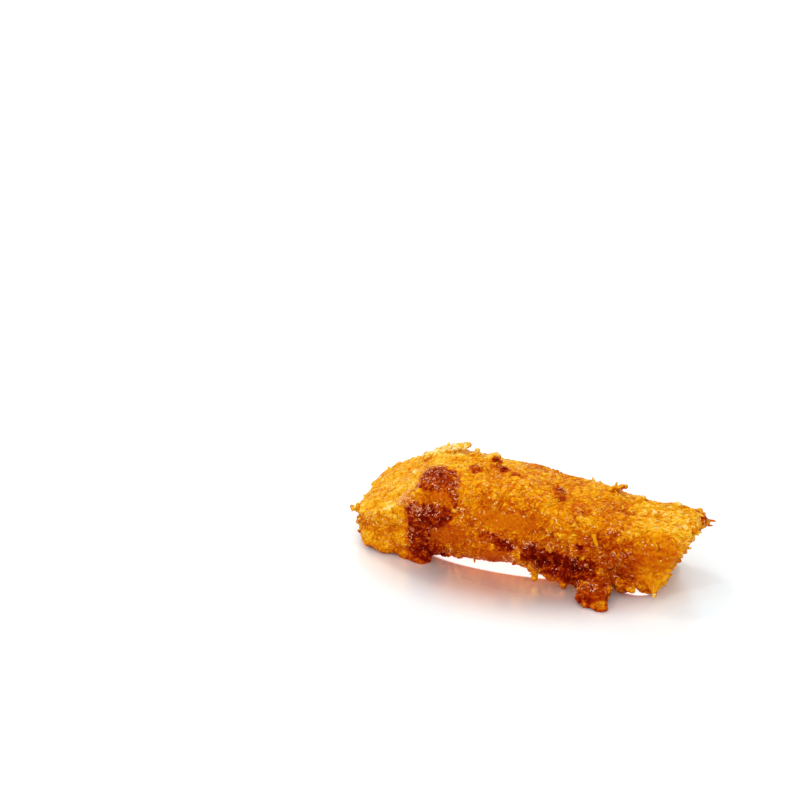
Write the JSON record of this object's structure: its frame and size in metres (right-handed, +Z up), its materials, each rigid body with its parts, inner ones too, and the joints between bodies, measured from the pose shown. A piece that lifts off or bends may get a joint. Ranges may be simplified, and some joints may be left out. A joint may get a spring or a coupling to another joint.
{
  "type": "cassava fry",
  "caption": "Chunky deep-fried cassava fry in a craggy golden crust with browned patches, slanted at one end and torn to shreds at the other.",
  "frame": {"origin": "centre of the bounding box's bottom face, on the surface that the fry lies on", "axes": "+X along the fry towards its torn, shredded end; -Y towards the browned front side with the crust flap; +Z up"},
  "size_m": [0.0886, 0.0352, 0.0247],
  "materials": {
    "crust": "fried crust, oily, with darker browned patches"
  },
  "bodies": {
    "root": {"fry": "crust"}
  },
  "joints": []
}
